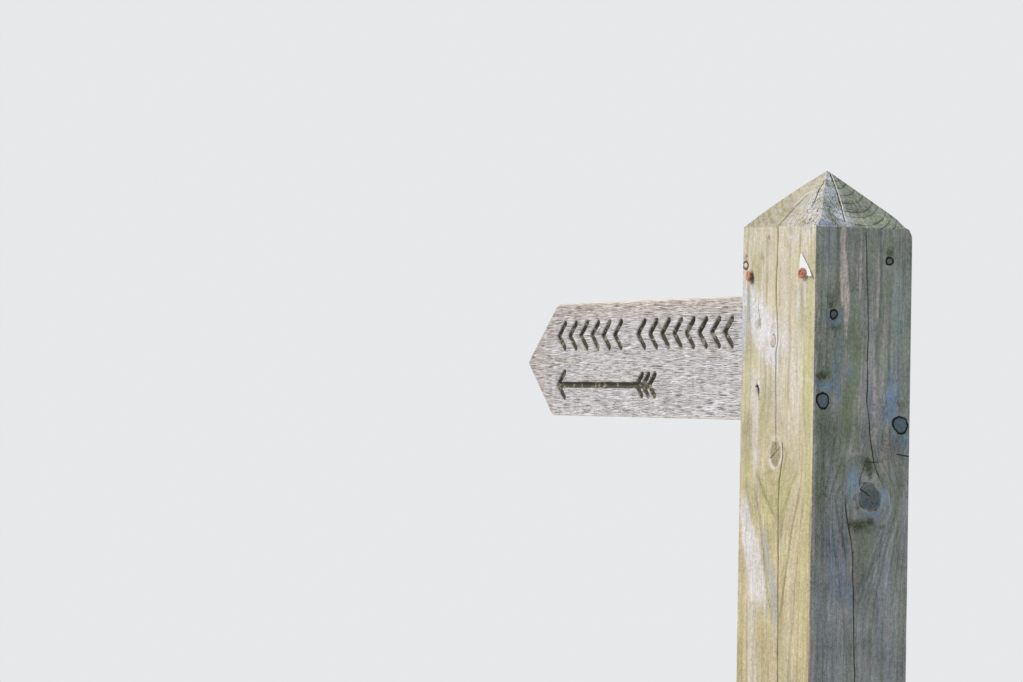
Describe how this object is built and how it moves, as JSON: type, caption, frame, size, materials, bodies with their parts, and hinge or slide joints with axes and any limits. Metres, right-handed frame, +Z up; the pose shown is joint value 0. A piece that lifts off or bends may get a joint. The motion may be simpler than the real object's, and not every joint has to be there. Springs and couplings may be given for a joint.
{
  "type": "wooden fingerpost",
  "caption": "Weathered square timber signpost with a four-way sloped top and a pointed finger board let into a mortise and nailed, to direct walkers along a path.",
  "frame": {"origin": "middle of the post's flat foot, at ground level", "axes": "+Z up the post; the finger points along -X; the face with the nails and the nailed cheek looks along -Y"},
  "size_m": [0.5052, 0.1039, 1.75],
  "materials": {
    "post_wood": "sawn softwood, treated and weathered to pale yellow-green and grey",
    "finger_wood": "planed hardwood, weathered silver-grey with dark flecks",
    "dark_nail": "darkened, punched below the surface",
    "rusty_nail": "rusted orange-brown",
    "white_plastic": "smooth white, torn and curled"
  },
  "bodies": {
    "root": {"post": "post_wood", "finger": "finger_wood", "finger_nail_upper": "dark_nail", "finger_nail_lower": "dark_nail", "disc_nail_left": "rusty_nail", "disc_nail_right": "rusty_nail", "disc_remnant": "white_plastic"}
  },
  "joints": []
}
